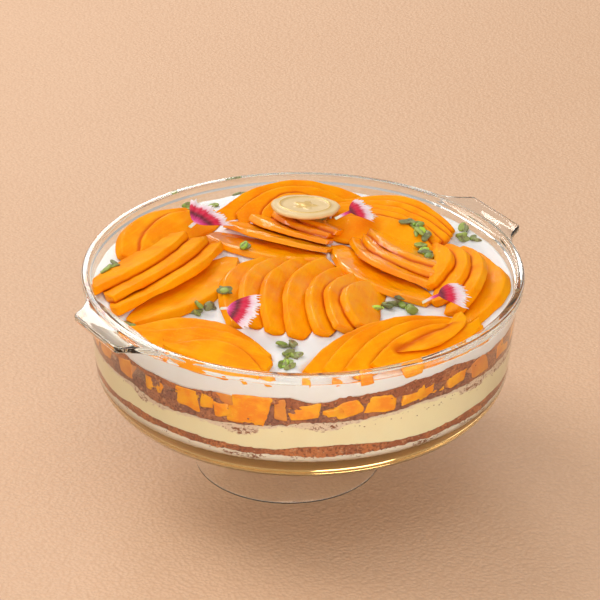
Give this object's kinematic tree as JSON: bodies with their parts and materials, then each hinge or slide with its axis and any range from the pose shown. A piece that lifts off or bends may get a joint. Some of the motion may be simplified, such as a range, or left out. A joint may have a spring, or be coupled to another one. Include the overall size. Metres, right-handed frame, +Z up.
{
  "type": "mango trifle in a footed glass bowl",
  "caption": "Layered mango trifle in a clear glass bowl with two lug handles and a glass foot, topped with fans of sliced mango, petals and a plain chocolate medallion.",
  "frame": {"origin": "on the table, on the bowl's axis, at the centre of the bounding box's bottom", "axes": "+Z up; +X along the two handles; -Y towards the near side, with the serving side turned 33.6 degrees from it towards -X"},
  "size_m": [0.2504, 0.23, 0.1229],
  "materials": {
    "clear_glass": "clear, polished",
    "mango_flesh": "wet cut fruit, satin with small gloss sparkles",
    "whipped_cream": "soft satin",
    "sponge": "open matte crumb",
    "custard": "smooth satin",
    "chocolate": "ivory with a gold lustre",
    "petal": "velvety, white fringe",
    "pistachio": "satin nut"
  },
  "bodies": {
    "root": {"glass_bowl": "clear_glass", "glass_foot": "clear_glass", "base_cream": "whipped_cream", "lower_sponge": "sponge", "custard": "custard", "middle_sponge": "sponge", "mango_cubes": "mango_flesh", "upper_sponge": "sponge", "whipped_cream": "whipped_cream", "mango_back_left_1": "mango_flesh", "mango_back_left_2": "mango_flesh", "mango_left_1": "mango_flesh", "mango_left_2": "mango_flesh", "mango_left_3": "mango_flesh", "mango_left_4": "mango_flesh", "mango_front_left_1": "mango_flesh", "mango_front_left_2": "mango_flesh", "mango_front_left_3": "mango_flesh", "mango_middle_1": "mango_flesh", "mango_middle_2": "mango_flesh", "mango_middle_3": "mango_flesh", "mango_middle_4": "mango_flesh", "mango_middle_5": "mango_flesh", "mango_middle_6": "mango_flesh", "mango_middle_7": "mango_flesh", "mango_upper_middle_1": "mango_flesh", "mango_upper_middle_2": "mango_flesh", "mango_upper_middle_3": "mango_flesh", "mango_upper_middle_4": "mango_flesh", "mango_upper_middle_5": "mango_flesh", "mango_back_1": "mango_flesh", "mango_back_2": "mango_flesh", "mango_back_3": "mango_flesh", "mango_back_right_1": "mango_flesh", "mango_back_right_2": "mango_flesh", "mango_back_right_3": "mango_flesh", "mango_back_right_4": "mango_flesh", "mango_back_right_5": "mango_flesh", "mango_right_middle_1": "mango_flesh", "mango_right_middle_2": "mango_flesh", "mango_right_middle_3": "mango_flesh", "mango_right_middle_4": "mango_flesh", "mango_right_1": "mango_flesh", "mango_right_2": "mango_flesh", "mango_right_3": "mango_flesh", "mango_right_4": "mango_flesh", "mango_front_right_1": "mango_flesh", "mango_front_right_2": "mango_flesh", "mango_front_right_3": "mango_flesh", "mango_front_right_4": "mango_flesh", "mango_front_right_5": "mango_flesh", "chocolate_medallion": "chocolate", "petal_left": "petal", "petal_front": "petal", "petal_back": "petal", "petal_right": "petal"}
  },
  "joints": []
}
